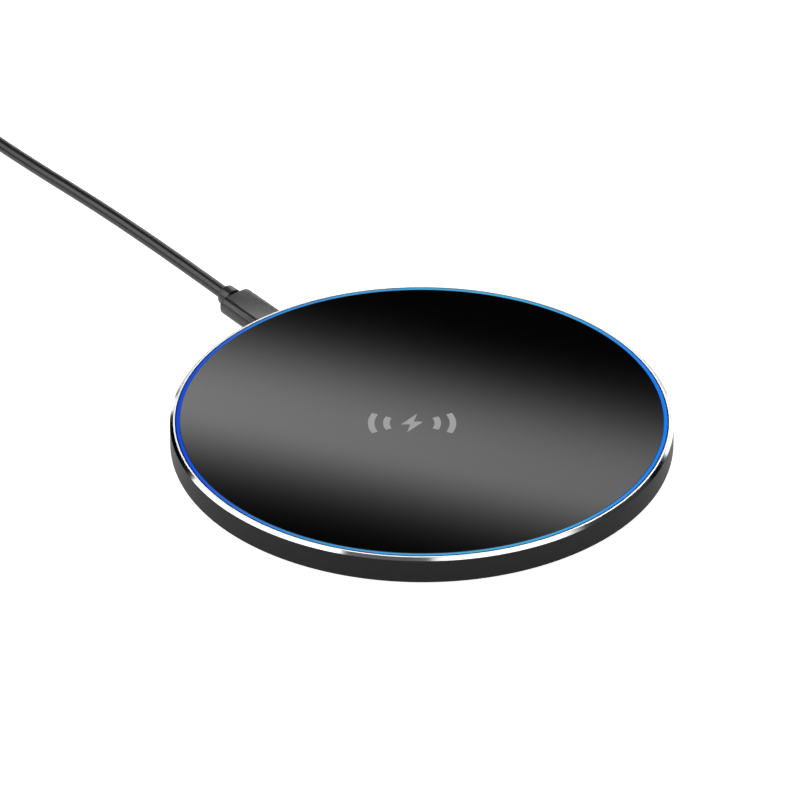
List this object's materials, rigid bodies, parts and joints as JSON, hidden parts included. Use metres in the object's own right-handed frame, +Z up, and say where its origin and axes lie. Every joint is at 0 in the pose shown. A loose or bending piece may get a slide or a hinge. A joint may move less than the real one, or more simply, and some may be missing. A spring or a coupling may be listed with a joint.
{
  "type": "wireless charging pad",
  "caption": "Slim round wireless charging pad with a black glass top, a lit ring at its edge, a metal side wall and a plug-in cable.",
  "frame": {"origin": "middle of the round pad, on the surface that its foot stands on", "axes": "+Z up out of the glass, +Y out of the cable's port, +X to the right seen from above with the port at the top"},
  "size_m": [0.1, 0.2507, 0.0078],
  "materials": {
    "black_glass": "polished, printed black from behind",
    "lit_blue": "frosted light guide, lit blue",
    "black_metal": "black anodised wall with a bright cut chamfer",
    "black_casing": "fine moulded texture",
    "black_silicone": "matte silicone",
    "clear_tape": "double-sided tape",
    "carrier_plastic": "moulded plastic",
    "grey_ferrite": "sintered ferrite",
    "copper_wire": "enamelled copper wire",
    "circuit_board": "solder mask",
    "chip_black": "moulded package",
    "tan_ceramic": "fired ceramic with tinned ends",
    "bright_steel": "tinned steel",
    "screw_steel": "blackened steel",
    "gold_contact": "gold plated",
    "led_package": "clear lens",
    "flex_film": "polyimide film",
    "plug_black": "satin moulded plastic",
    "cable_black": "satin jacket",
    "tie_black": "coated tie"
  },
  "bodies": {
    "pad": {"top_glass": "black_glass", "glass_tape": "clear_tape", "light_guide_ring": "lit_blue", "housing_ring": "black_metal", "bottom_cover": "black_casing", "foot_ring": "black_silicone", "foot_tape": "clear_tape", "cover_screws": "screw_steel", "board_screws": "bright_steel", "coil_carrier": "carrier_plastic", "ferrite_tape": "clear_tape", "ferrite_shield": "grey_ferrite", "winding_tape": "clear_tape", "transmitter_winding": "copper_wire", "winding_leads": "copper_wire", "main_pcb": "circuit_board", "controller_chip": "chip_black", "bridge_transistors": "chip_black", "resonant_capacitors": "tan_ceramic", "filter_inductor": "grey_ferrite", "crystal": "bright_steel", "small_capacitors": "tan_ceramic", "led_flex": "flex_film", "leds": "led_package", "usb_socket_shell": "bright_steel", "usb_socket_tongue": "chip_black", "usb_socket_contacts": "gold_contact"},
    "cable": {"plug_overmould": "plug_black", "plug_collar": "plug_black", "plug_shell": "bright_steel", "plug_insulator": "chip_black", "plug_contacts": "gold_contact", "cable_lead": "cable_black", "cable_coil": "cable_black", "cable_tail": "cable_black", "cable_tie": "tie_black", "usb_a_collar": "plug_black", "usb_a_overmould": "plug_black", "usb_a_shell": "bright_steel", "usb_a_insulator": "chip_black", "usb_a_contacts": "gold_contact"}
  },
  "joints": [
    {"name": "plug_slide", "type": "slide", "parent": "pad", "child": "cable", "axis": [0, 1, 0], "range_m": [0, 0.012]}
  ]
}
